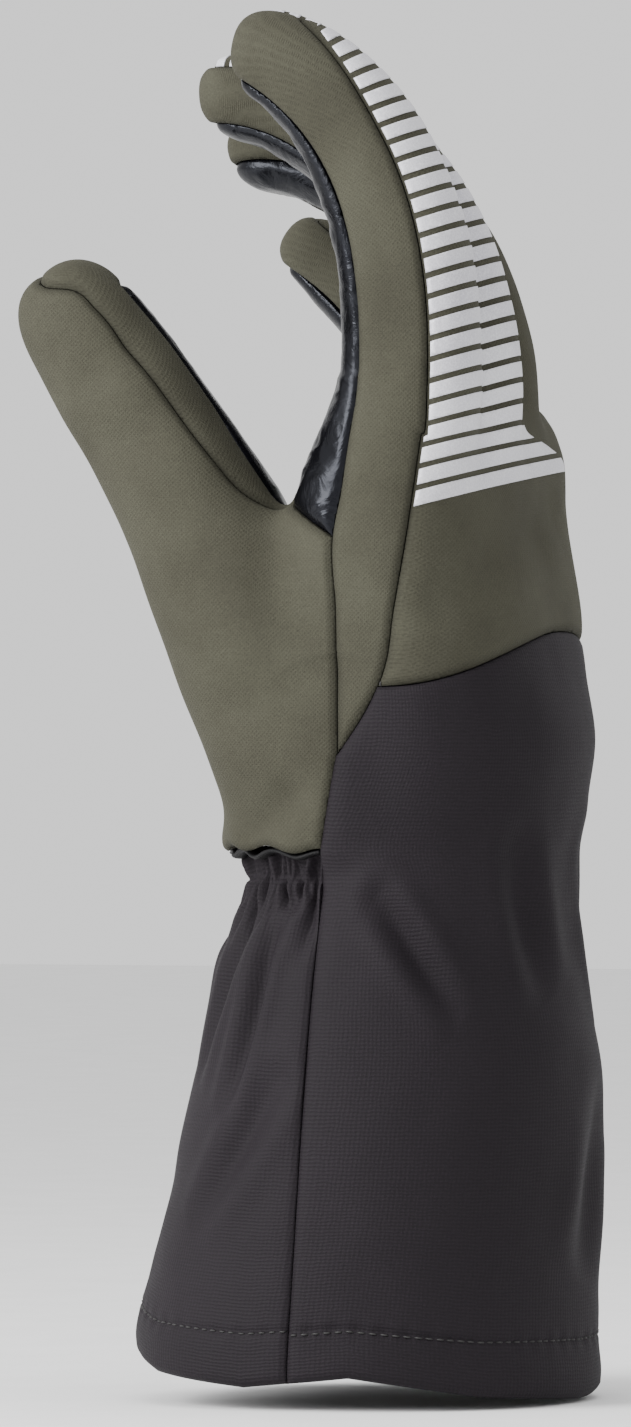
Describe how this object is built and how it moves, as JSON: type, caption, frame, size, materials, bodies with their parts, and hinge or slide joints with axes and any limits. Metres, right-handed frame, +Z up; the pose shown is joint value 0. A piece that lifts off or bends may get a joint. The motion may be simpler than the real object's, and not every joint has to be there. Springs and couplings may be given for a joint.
{
  "type": "heated glove",
  "caption": "Right-hand winter glove with a long flared cuff, leather palm and reflective finger backs, standing as worn and hollow from the cuff to the fingertips.",
  "frame": {"origin": "centre of the cuff opening, at the level of the rim's lowest edge", "axes": "+Z up the arm toward the fingertips, +X out of the back of the hand, -X the palm side, -Y the thumb side, +Y the little-finger side"},
  "size_m": [0.1162, 0.108, 0.3036],
  "materials": {
    "olive_softshell": "matt woven softshell",
    "black_softshell": "matt softshell with a fine cross weave",
    "black_leather": "soft creased leather with a low sheen",
    "piping_cord": "grey-black covered cord"
  },
  "bodies": {
    "root": {"gusset_index": "olive_softshell", "gusset_little": "olive_softshell", "gusset_index_middle": "olive_softshell", "gusset_middle_ring": "olive_softshell", "gusset_ring_little": "olive_softshell", "thumb_palm": "black_leather", "thumb_strip": "olive_softshell", "cuff_back": "black_softshell", "cuff_palm": "black_softshell", "thumb_outer": "olive_softshell", "hand_back": "olive_softshell", "palm": "black_leather", "wrist_piping": "piping_cord"}
  },
  "joints": []
}
